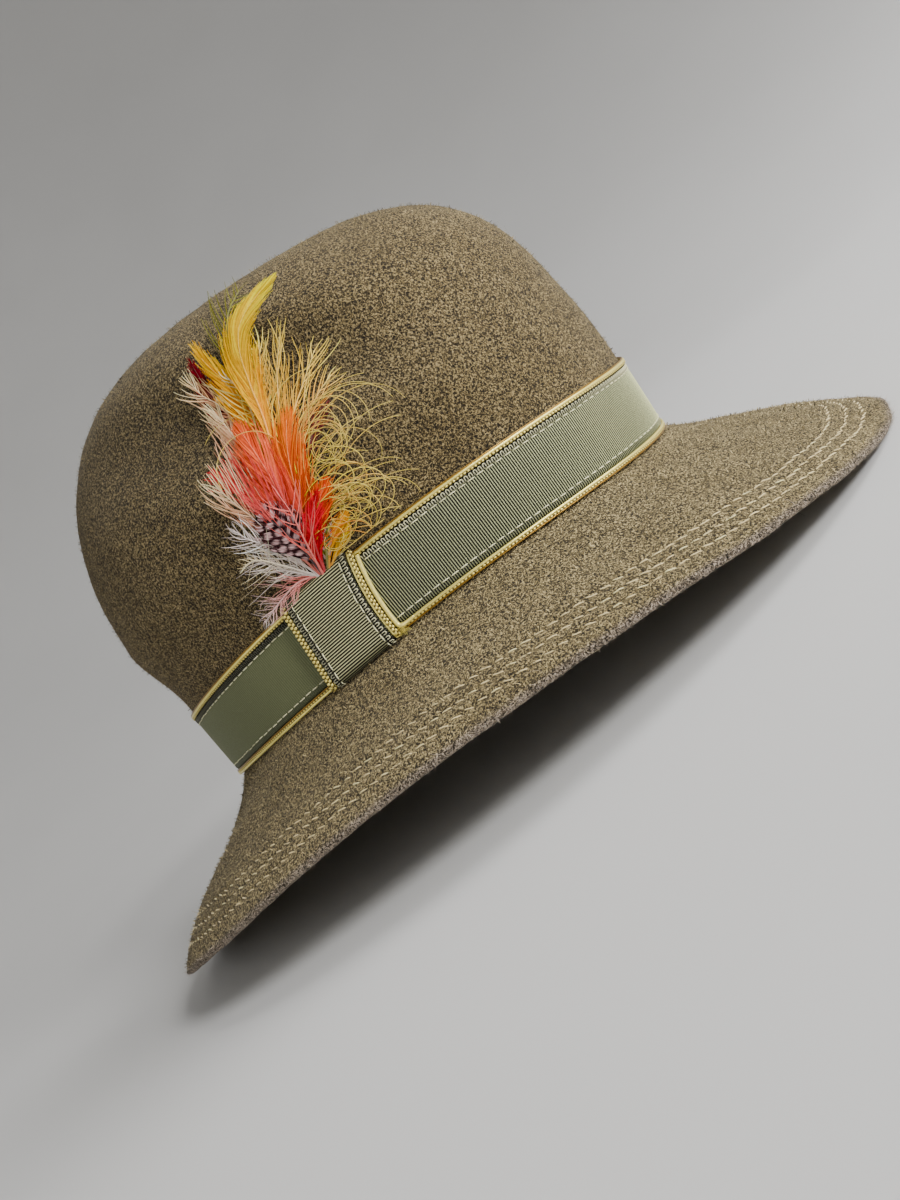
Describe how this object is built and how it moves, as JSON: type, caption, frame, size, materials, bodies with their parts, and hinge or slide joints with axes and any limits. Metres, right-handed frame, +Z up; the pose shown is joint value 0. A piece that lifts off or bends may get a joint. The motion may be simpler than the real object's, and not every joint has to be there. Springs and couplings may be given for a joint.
{
  "type": "felt fedora hat with ribbon band and feathers",
  "caption": "Wool felt hat with a dented crown, a drooping brim, a corded ribbon band with a keeper, and a spray of dyed feathers at its right side.",
  "frame": {"origin": "on the surface that the hat stands on, below the middle of its box", "axes": "+Z up, -Y towards the hat's front, -X towards the wearer's right, where the feathers are"},
  "size_m": [0.2594, 0.315, 0.176],
  "materials": {
    "felt": "mottled olive brown wool felt, matte",
    "ribbon": "olive green grosgrain ribbon, soft sheen",
    "cord": "twisted metallic gold thread",
    "feather": "dyed hackles, yellow through orange and red, with spotted dark ones"
  },
  "bodies": {
    "root": {"felt_body": "felt", "ribbon_band": "ribbon", "band_cord_top": "cord", "band_cord_bottom": "cord", "band_end_cord": "cord", "keeper": "ribbon", "keeper_cord_front": "cord", "keeper_cord_back": "cord", "feather_spray": "feather"}
  },
  "joints": []
}
